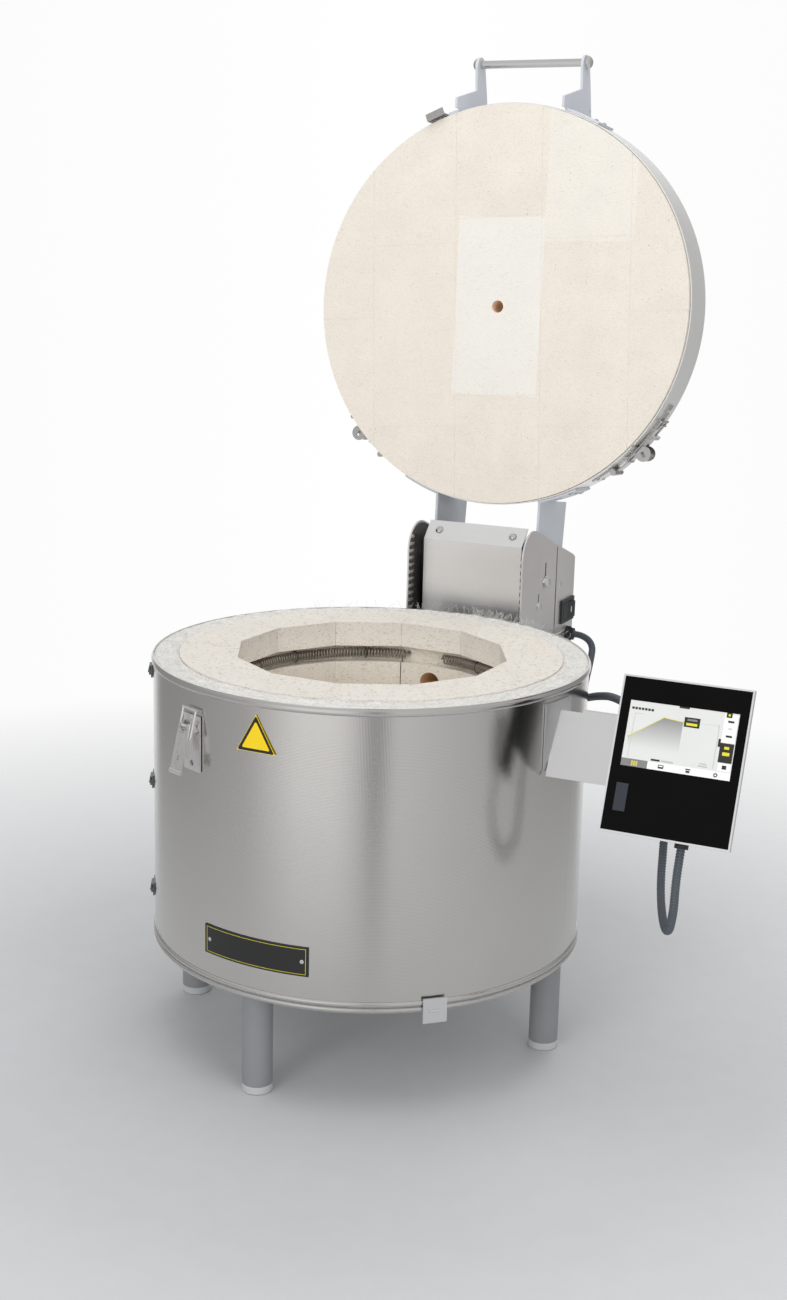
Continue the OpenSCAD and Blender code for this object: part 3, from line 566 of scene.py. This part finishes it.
EDGES = {"wall_bricks": 0.0009, "lid_bricks": 0.00012, "floor_bricks": 0.0008, "side_panels": 0.0003,
         "hinge_cover": 0.0008, "box_shell": 0.0005, "box_front": 0.0003, "handle_brackets": 0.0004,
         "lid_arms": 0.0004, "latch_base": 0.0003, "latch_lever": 0.0004, "lid_keeper": 0.0003,
         "tensioner_bases": 0.0003, "tensioner_keepers": 0.0003, "tensioner_lever_right": 0.0003,
         "tensioner_lever_left": 0.0003, "controller_frame": 0.0006, "controller_housing": 0.0012,
         "controller_arm": 0.0003, "controller_bracket": 0.0003, "usb_flap": 0.0004, "bottom_catch": 0.0003,
         "casing_clamps": 0.0006, "switch_bezel": 0.0006, "switch_rocker": 0.0006, "leg_glides": 0.0006,
         "mount_brackets": 0.0004, "nameplate": 0.0002, "relay": 0.0006, "terminal_block": 0.0005}
for key, names in CAD_LOOK.items():
    for name in names:
        obj = nodes[name]
        obj.data.materials.clear()
        obj.data.materials.append(MAT[key])
for name, width in EDGES.items():
    bevel(nodes[name], width)

hose()

# ---------------------------------------------------------------- heating coils
GROOVE_Z = [BRICK_TOP - 0.039 - 0.056 * k for k in range(4)]
COIL_RING_R = 0.156


def coils():
    """Four helical elements lying in their grooves, each with two straight leads."""
    coil_r, wire_r, pitch = 0.0052, 0.00110, 0.0038
    start, span = 100.5, 341.6
    lead_in, lead_out = 100.0, 82.8
    lead_ends = (0.262, 0.166)
    per_turn = 9
    turns = round(COIL_RING_R * math.radians(span) / pitch)
    total = turns * per_turn
    bm = bmesh.new()
    for k, z0 in enumerate(GROOVE_Z):
        phase = random.Random(40 + k).uniform(0, 6.28)
        pts = [polar(r, lead_in, z0) for r in lead_ends]
        for i in range(total + 1):
            f = i / total
            w = 2 * math.pi * turns * f + phase
            wobble = 0.0006 * math.sin(f * 37 + k) + 0.0004 * math.sin(f * 91)
            sag = 0.0005 * math.sin(f * 23 + 2 * k)
            pts.append(polar(COIL_RING_R + wobble + coil_r * math.cos(w), start + span * f,
                             z0 + sag + coil_r * math.sin(w)))
        pts += [polar(r, lead_out, z0) for r in reversed(lead_ends)]
        tube(bm, pts, wire_r, 5)
    obj = from_bm("element_coils", bm, MAT["wire"])
    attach(obj, "kiln")
    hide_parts("elements")


def coil_staples():
    """U-shaped pins that hold each coil back in its groove."""
    bow_r, foot_r, foot_z, wire_r = 0.0068, 0.1632, 0.0034, 0.0007
    bm = bmesh.new()
    for k, z0 in enumerate(GROOVE_Z):
        for i in range(11):
            ang = 118.5 + 30 * i + 4 * math.sin(2.1 * i + k)
            if ang > 432:
                continue
            path = [polar(foot_r, ang, z0 - foot_z)]
            for j in range(13):
                q = math.radians(-150 + 300 * j / 12)
                path.append(polar(COIL_RING_R - bow_r * math.cos(q), ang, z0 + bow_r * math.sin(q)))
            path.append(polar(foot_r, ang, z0 + foot_z))
            tube(bm, path, wire_r, 5)
    obj = from_bm("coil_staples", bm, MAT["dark_clip"])
    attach(obj, "kiln")


# ---------------------------------------------------------------- fibre between bricks and casing
def fibre_top():
    """Uneven, torn upper edge of the fibre blanket between the bricks and the casing."""
    around, across = 720, 16
    r_in, r_out = 0.2144, 0.2412
    low_z, mean_z, top_z = 0.4385, 0.4418, 0.4431
    bm = bmesh.new()
    grid = []
    for i in range(around):
        a = 2 * math.pi * i / around
        row = [bm.verts.new((r_in * math.cos(a), r_in * math.sin(a), low_z))]
        for j in range(across + 1):
            f = j / across
            r = r_in + (r_out - r_in) * f
            p = Vector((r * math.cos(a), r * math.sin(a), 0))
            lump = 0.0011 * noise.fractal(p * 60, 1.0, 2.0, 4)
            fine = 0.0005 * noise.noise(p * 420)
            ridge = 0.0006 * math.sin(f * math.pi * 5 + 2.4 * noise.noise(p * 25))
            drop = -0.0022 * max(0, 1 - min(f, 1 - f) / 0.10) ** 2
            row.append(bm.verts.new((p.x, p.y, min(mean_z + lump + fine + ridge + drop, top_z))))
        row.append(bm.verts.new((r_out * math.cos(a), r_out * math.sin(a), low_z)))
        grid.append(row)
    loft(bm, grid, closed=True)
    obj = from_bm("fibre_top", bm, MAT["fibre"])
    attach(obj, "kiln")


def fibre_strands():
    """Loose fibres, lying on the blanket and sticking out past the rim at the back."""
    rnd = random.Random(7)
    lie_z, rim_top, joints = 0.4424, 0.4433, 5
    bm = bmesh.new()
    for _ in range(900):
        ang = rnd.uniform(0, 360)
        p = polar(rnd.uniform(0.217, 0.2405), ang, 0.4423)
        heading = rnd.uniform(0, 2 * math.pi)
        length = rnd.uniform(0.003, 0.009)
        bend = rnd.uniform(-2.2, 2.2)
        path = []
        for j in range(joints):
            path.append(p.copy())
            h = heading + bend * j / joints
            p = p + Vector((math.cos(h), math.sin(h), 0)) * (length / joints)
            p.z = lie_z + 0.0006 * math.sin(j * 0.8)
        tube(bm, path, 0.00012, 3)
    tufts = ((78, 9, 70), (84, 3, 30), (66, 5, 22), (96, 8, 18), (52, 8, 10), (120, 14, 12))
    for middle, width, count in tufts:
        for _ in range(count):
            ang = rnd.gauss(middle, width / 2)
            tip = rnd.uniform(0.0015, 0.0075)
            lean = rnd.uniform(-1.4, 1.4)
            tube(bm, [polar(0.239, ang, lie_z), polar(0.2435, ang + 0.2 * lean, 0.4430),
                      polar(0.2468, ang + 0.5 * lean, rim_top + 0.25 * tip),
                      polar(0.2488, ang + 0.9 * lean, rim_top + 0.65 * tip),
                      polar(0.2500, ang + 1.5 * lean, rim_top + tip)], 0.00016, 3)
    obj = from_bm("fibre_strands", bm, MAT["fibre"])
    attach(obj, "kiln")
    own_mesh(obj)


# ---------------------------------------------------------------- small parts
def screw_head(bm, matrix, radius, height):
    """Low domed head with a cross recess."""
    rings, segments = 6, 28
    rows = []
    for i in range(rings):
        f = i / rings
        rr = radius * math.cos(f * math.pi / 2)
        zz = height * math.sin(f * math.pi / 2)
        row = []
        for k in range(segments):
            a = 2 * math.pi * k / segments
            cross = max(abs(math.cos(2 * a)) - 0.80, 0) * 5 if rr < radius * 0.62 else 0
            at = Vector((rr * math.cos(a), rr * math.sin(a), zz - 0.55 * height * cross))
            row.append(bm.verts.new(matrix @ at))
        rows.append(row)
    tip = bm.verts.new(matrix @ Vector((0, 0, 0.65 * height)))
    for q, w in zip(rows, rows[1:]):
        for k in range(segments):
            bm.faces.new((q[k], q[(k + 1) % segments], w[(k + 1) % segments], w[k]))
    for k in range(segments):
        bm.faces.new((rows[-1][k], rows[-1][(k + 1) % segments], tip))
    bm.faces.new(list(reversed(rows[0])))


def outward(ang, r, z):
    """Matrix whose Z axis points out of the drum at an angle."""
    a = math.radians(ang)
    out = Vector((math.cos(a), math.sin(a), 0))
    side = Vector((-math.sin(a), math.cos(a), 0))
    return Matrix((
        (side.x, 0, out.x, out.x * r),
        (side.y, 0, out.y, out.y * r),
        (0, 1, 0, z),
        (0, 0, 0, 1)))


def nameplate_details():
    """Two small screws and a thin yellow line near the plate's edge."""
    bm = bmesh.new()
    for ang in (-106.5, -79.6):
        screw_head(bm, outward(ang, CASING_R + 0.0011, 0.170), 0.0024, 0.0009)
    obj = from_bm("nameplate_screws", bm, MAT["bright"])
    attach(obj, "kiln")
    bm = bmesh.new()
    r_in, r_out = CASING_R + 0.00105, CASING_R + 0.00125
    a0, a1, z0, z1, t = -107.5, -78.6, 0.1560, 0.1840, 0.0004
    dt = math.degrees(t / CASING_R)
    for lo, hi, low, high in ((a0, a1, z1 - t, z1), (a0, a1, z0, z0 + t),
                              (a0, a0 + dt, z0 + t, z1 - t), (a1 - dt, a1, z0 + t, z1 - t)):
        steps = max(1, int((hi - lo) / 1.5))
        rows = []
        for i in range(steps + 1):
            ang = lo + (hi - lo) * i / steps
            rows.append([bm.verts.new(polar(r, ang, z)) for r, z in
                         ((r_in, low), (r_out, low), (r_out, high), (r_in, high))])
        loft(bm, rows)
    obj = from_bm("nameplate_line", bm, MAT["ui_yellow"], False)
    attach(obj, "kiln")


def triangle_border():
    """Black border on the plain yellow triangle."""
    corners = [Vector((0, 0.026)), Vector((-0.0225, -0.013)), Vector((0.0225, -0.013))]
    base = outward(-92.1, CASING_R + 0.0014, 0.400)
    bm = bmesh.new()

    def ring(scale, z, count=7, radius=0.0013):
        """Triangle outline with round corners."""
        out = []
        for i, c in enumerate(corners):
            p = c * scale
            direction = math.atan2(c.y, c.x)
            for j in range(count):
                a = direction + math.radians(-60 + 120 * j / (count - 1))
                centre = p * (1 - radius * 2 / 0.026)
                out.append(bm.verts.new(base @ Vector((centre.x + radius * math.cos(a),
                                                       centre.y + radius * math.sin(a), z))))
        return out

    top_out, top_in = ring(0.965, 0.00012), ring(0.72, 0.00012)
    low_out, low_in = ring(0.965, 0.0), ring(0.72, 0.0)
    n = len(top_out)
    for i in range(n):
        j = (i + 1) % n
        bm.faces.new((top_out[i], top_out[j], top_in[j], top_in[i]))
        bm.faces.new((low_out[j], low_out[i], low_in[i], low_in[j]))
        bm.faces.new((low_out[i], low_out[j], top_out[j], top_out[i]))
        bm.faces.new((low_in[j], low_in[i], top_in[i], top_in[j]))
    obj = from_bm("triangle_border", bm, MAT["black_ink"], False)
    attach(obj, "kiln")


def lid_joint_cement():
    """Pale cement just under the lid's face, so its brick joints read as hairlines."""
    n = 96
    vent_r, edge_r = 0.0086, 0.2405
    low, high = BRICK_TOP + 0.0007, BRICK_TOP + 0.0030
    bm = bmesh.new()
    rows = [[bm.verts.new(LID @ polar(r, 360 * i / n, z)) for i in range(n)]
            for r, z in ((vent_r, low), (edge_r, low), (edge_r, high), (vent_r, high))]
    loft(bm, rows, closed=True)
    obj = from_bm("lid_joint_cement", bm, MAT["joint"], False)
    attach(obj, "lid")


def rocker_mark():
    """White bar moulded into one half of the power rocker."""
    base = (Matrix.Translation((0.074, 0.424, 0.422)) @ Matrix.Rotation(math.radians(-7), 4, "Z")
            @ Matrix.Translation((0.00822, 0.0080, 0)) @ Matrix.Rotation(math.radians(-8.3), 4, "Z"))
    half_w, half_h = 0.0008, 0.0038
    bm = bmesh.new()
    loft(bm, [[bm.verts.new(base @ Vector((x, y, z))) for y, z in
               ((-half_w, -half_h), (half_w, -half_h), (half_w, half_h), (-half_w, half_h))]
              for x in (-0.0002, 0.00012)])
    obj = from_bm("rocker_mark", bm, MAT["mark"], False)
    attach(obj, "rocker")


coils()
coil_staples()
lid_joint_cement()
rocker_mark()
fibre_top()
fibre_strands()
nameplate_details()
triangle_border()


# ---------------------------------------------------------------- controller screen
SCREEN = (-55.3, 54.3, 110.6, 66.1)   # left, top, width and height in the panel's frame, mm


def flat_shape(bm, outline, front, thick=0.00006):
    """Thin plate from an outline of (u, v), with u to the right and v down, both 0 to 1."""
    left, top, width, height = SCREEN
    loops = []
    for y in (front, front + thick):
        loops.append([bm.verts.new(PANEL @ Vector(((left + u * width) * MM, y, (top - v * height) * MM)))
                      for u, v in outline])
    bm.faces.new(loops[0])
    bm.faces.new(list(reversed(loops[1])))
    n = len(outline)
    for i in range(n):
        j = (i + 1) % n
        bm.faces.new((loops[0][j], loops[0][i], loops[1][i], loops[1][j]))


def boxes(*corners):
    """Outlines of boxes, each given by its left, top, right and bottom."""
    return [[(u0, v0), (u1, v0), (u1, v1), (u0, v1)] for u0, v0, u1, v1 in corners]


def line_uv(points, width):
    """Outline of a line of a given width through points of (u, v)."""
    w, h = SCREEN[2:]
    pts = [Vector((u * w, v * h)) for u, v in points]
    a, b = [], []
    for i, p in enumerate(pts):
        d = (pts[min(i + 1, len(pts) - 1)] - pts[max(i - 1, 0)]).normalized()
        n = Vector((-d.y, d.x)) * (width / 2)
        a.append(((p.x + n.x) / w, (p.y + n.y) / h))
        b.append(((p.x - n.x) / w, (p.y - n.y) / h))
    return a + list(reversed(b))


def round_uv(u, v, radii):
    """Round outline about a point, with one radius in mm for each of its points."""
    w, h = SCREEN[2:]
    step = 2 * math.pi / len(radii)
    return [(u + r * math.cos(step * i) / w, v + r * math.sin(step * i) / h) for i, r in enumerate(radii)]


def disc_uv(u, v, r):
    """Outline of a disc."""
    return round_uv(u, v, [r] * 20)


def layer(name, mat, shapes, front):
    """One layer of the picture: thin plates of one colour in front of the panel."""
    bm = bmesh.new()
    for outline in shapes:
        flat_shape(bm, outline, front)
    obj = from_bm(name, bm, mat, False)
    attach(obj, "kiln")


def gradient_fill():
    """Grey under the curve, fading to the screen's own tone at the bottom."""
    m, nt, bsdf = material("screen_fill", roughness=0.2)
    panel_up = PANEL.to_3x3() @ Vector((0, 0, 1))
    low = (PANEL @ Vector((0, 0, 0.0070))).dot(panel_up)
    height = add(nt, "ShaderNodeVectorMath", operation="DOT_PRODUCT")
    height.inputs[1].default_value = panel_up
    wire(nt, object_coords(nt), height.inputs[0])
    fac = times(nt, math_node(nt, "SUBTRACT", height.outputs["Value"], low), 1 / 0.035, clamp=True)
    wire(nt, ramp(nt, fac, [(0.0, (0.74, 0.75, 0.735)), (1.0, grey(0.25))]), bsdf.inputs["Base Color"])
    return m


def screen_picture():
    """A firing curve with tiles and icons, all without words or numbers."""
    curve = [(0.026, 0.555), (0.329, 0.205), (0.507, 0.232)]
    layer("screen_fill", gradient_fill(), [curve + [(0.507, 0.72), (0.026, 0.72)]], 0.00070)
    tiles = boxes((0.0, 0.885, 1.0, 1.0), (0.868, 0.02, 0.992, 0.445), (0.874, 0.755, 0.992, 0.872))
    layer("screen_tiles", MAT["ui_white"], tiles, 0.00070)
    layer("screen_tile_active", MAT["ui_grey"], boxes((0.0, 0.885, 0.245, 1.0)), 0.00064)
    lines = [line_uv([(0.060, 0.19), (0.052, 0.86)], 0.35), line_uv([(0.835, 0.19), (0.835, 0.86)], 0.45),
             line_uv([(0.06, 0.19), (0.13, 0.19)], 0.25)]
    lines += [line_uv([(0.672 + 0.028 * k, 0.215), (0.688 + 0.028 * k, 0.215)], 0.35) for k in range(6)]
    lines += boxes((0.365, 0.845, 0.475, 0.868), (0.71, 0.80, 0.775, 0.816), (0.70, 0.835, 0.785, 0.853))
    lines += [disc_uv(0.655, 0.845, 1.0)]
    layer("screen_lines", MAT["ui_line"], lines, 0.00064)
    darks = boxes((0.452, 0.0, 0.545, 0.026), (0.516, 0.148, 0.658, 0.295), (0.868, 0.455, 0.992, 0.745),
                  (0.846, 0.40, 0.868, 0.52), (0.884, 0.0, 0.935, 0.072))
    darks += boxes(*((0.022 + 0.030 * k, 0.098, 0.044 + 0.030 * k, 0.132) for k in range(7)))
    darks += boxes((0.270, 0.842, 0.352, 0.870), (0.905, 0.115, 0.960, 0.145), (0.905, 0.335, 0.960, 0.365))
    darks += [line_uv([(0.918, 0.235), (0.948, 0.235)], 0.5)]
    darks += boxes((0.914, 0.785, 0.953, 0.842), (0.345, 0.915, 0.395, 0.970), (0.595, 0.912, 0.640, 0.930),
                   (0.600, 0.940, 0.635, 0.972))
    darks += [round_uv(0.868, 0.943, [2.35, 2.35, 1.75, 1.75] * 8)]
    layer("screen_dark", MAT["ui_dark"], darks, 0.00060)
    holes = [disc_uv(0.868, 0.943, 0.95), *boxes((0.352, 0.926, 0.388, 0.945)), disc_uv(0.655, 0.845, 0.7)]
    layer("screen_icon_holes", MAT["ui_white"], holes, 0.00055)
    yellows = [line_uv(curve, 0.65), disc_uv(0.026, 0.555, 0.9), disc_uv(0.507, 0.232, 0.8)]
    yellows += boxes((0.537, 0.232, 0.637, 0.270), (0.900, 0.020, 0.920, 0.050),
                     (0.908, 0.505, 0.952, 0.545), (0.898, 0.590, 0.962, 0.640))
    yellows += boxes(*((0.096 + 0.021 * i, 0.912 + 0.026 * j, 0.111 + 0.021 * i, 0.932 + 0.026 * j)
                       for i in range(3) for j in range(3)))
    layer("screen_yellow", MAT["ui_yellow"], yellows, 0.00050)
    layer("screen_soft", MAT["ui_grey"], boxes((0.542, 0.170, 0.632, 0.200)), 0.00052)


screen_picture()

# ---------------------------------------------------------------- lights and stage
# Brightness once round the horizon; 0.5 is the side that the camera stands on.
HORIZON = ((0.0, 1.0), (0.06, 0.95), (0.10, 0.34), (0.20, 0.40), (0.32, 0.52), (0.40, 0.98), (0.455, 1.0),
           (0.49, 0.72), (0.512, 0.24), (0.532, 0.78), (0.62, 0.64), (0.70, 0.54), (0.79, 0.43),
           (0.90, 0.31), (0.94, 0.95), (1.0, 1.0))


def area(name, azimuth, height, dist, aim, power, width, tall):
    """A soft box on a stand, its azimuth in degrees right of the camera, kept out of reflections."""
    a = AZ + math.radians(azimuth)
    at = Vector((math.sin(a) * dist, -math.cos(a) * dist, height))
    data = bpy.data.lights.new(name, "AREA")
    data.energy = power
    data.shape = "RECTANGLE"
    data.size = width
    data.size_y = tall
    obj = bpy.data.objects.new(name, data)
    scene.collection.objects.link(obj)
    obj.location = at
    obj.rotation_euler = (Vector(aim) - at).to_track_quat("-Z", "Y").to_euler()
    obj.visible_glossy = False


def studio_world():
    """Soft surroundings: brightness changes slowly round the horizon and upward."""
    world = bpy.data.worlds.new("studio")
    scene.world = world
    world.use_nodes = True
    nt = world.node_tree
    x, y, z = separate(nt, rotated(nt, add(nt, "ShaderNodeTexCoord").outputs["Generated"], "Z", -AZ))
    azimuth = math_node(nt, "ARCTAN2", x, times(nt, y, -1.0))
    fac = math_node(nt, "ADD", times(nt, azimuth, 0.5 / math.pi), 0.5)
    around = ramp(nt, fac, [(at, grey(v)) for at, v in HORIZON])
    high = ramp(nt, times(nt, z, 1.0, clamp=True), [(0.35, grey(0)), (0.8, grey(1))])
    low = ramp(nt, times(nt, z, -1.0, clamp=True), [(0.45, grey(0)), (0.8, grey(1))])
    full = mix_color(nt, low, mix_color(nt, high, around, grey(0.70)), grey(0.85))
    wire(nt, full, nt.nodes["Background"].inputs["Color"])
    nt.nodes["Background"].inputs["Strength"].default_value = 1.0


def pale_floor():
    """Round pale floor that fades out well away from the kiln."""
    radius = 3.0
    m, nt, bsdf = material("floor_pale", roughness=0.75)
    vec = object_coords(nt)
    length = add(nt, "ShaderNodeVectorMath", operation="LENGTH")
    wire(nt, vec, length.inputs[0])
    far = times(nt, length.outputs["Value"], 1 / radius, clamp=True)
    tone = ramp(nt, noise_tex(nt, vec, 30.0), [(0.3, (0.585, 0.595, 0.61)), (0.7, (0.60, 0.61, 0.625))])
    wire(nt, tone, bsdf.inputs["Base Color"])
    wire(nt, ramp(nt, far, [(0.16, grey(1)), (0.5, grey(0))]), bsdf.inputs["Alpha"])
    bm = bmesh.new()
    bmesh.ops.create_circle(bm, cap_ends=True, segments=96, radius=radius)
    floor = from_bm("floor", bm, m, False)
    floor.location.z = -0.0002


area("key", -30, 1.1, 2.5, (0, 0, 0.3), 14, 0.9, 1.5)
area("fill", 30, 1.0, 2.6, (0, 0, 0.35), 9, 1.0, 1.4)
area("top", 10, 2.6, 0.5, (0, 0, 0.3), 14, 1.8, 1.8)
area("rear", 150, 1.5, 2.4, (0, 0.2, 0.5), 10, 1.2, 1.2)
studio_world()
pale_floor()
scene.view_settings.view_transform = "Standard"
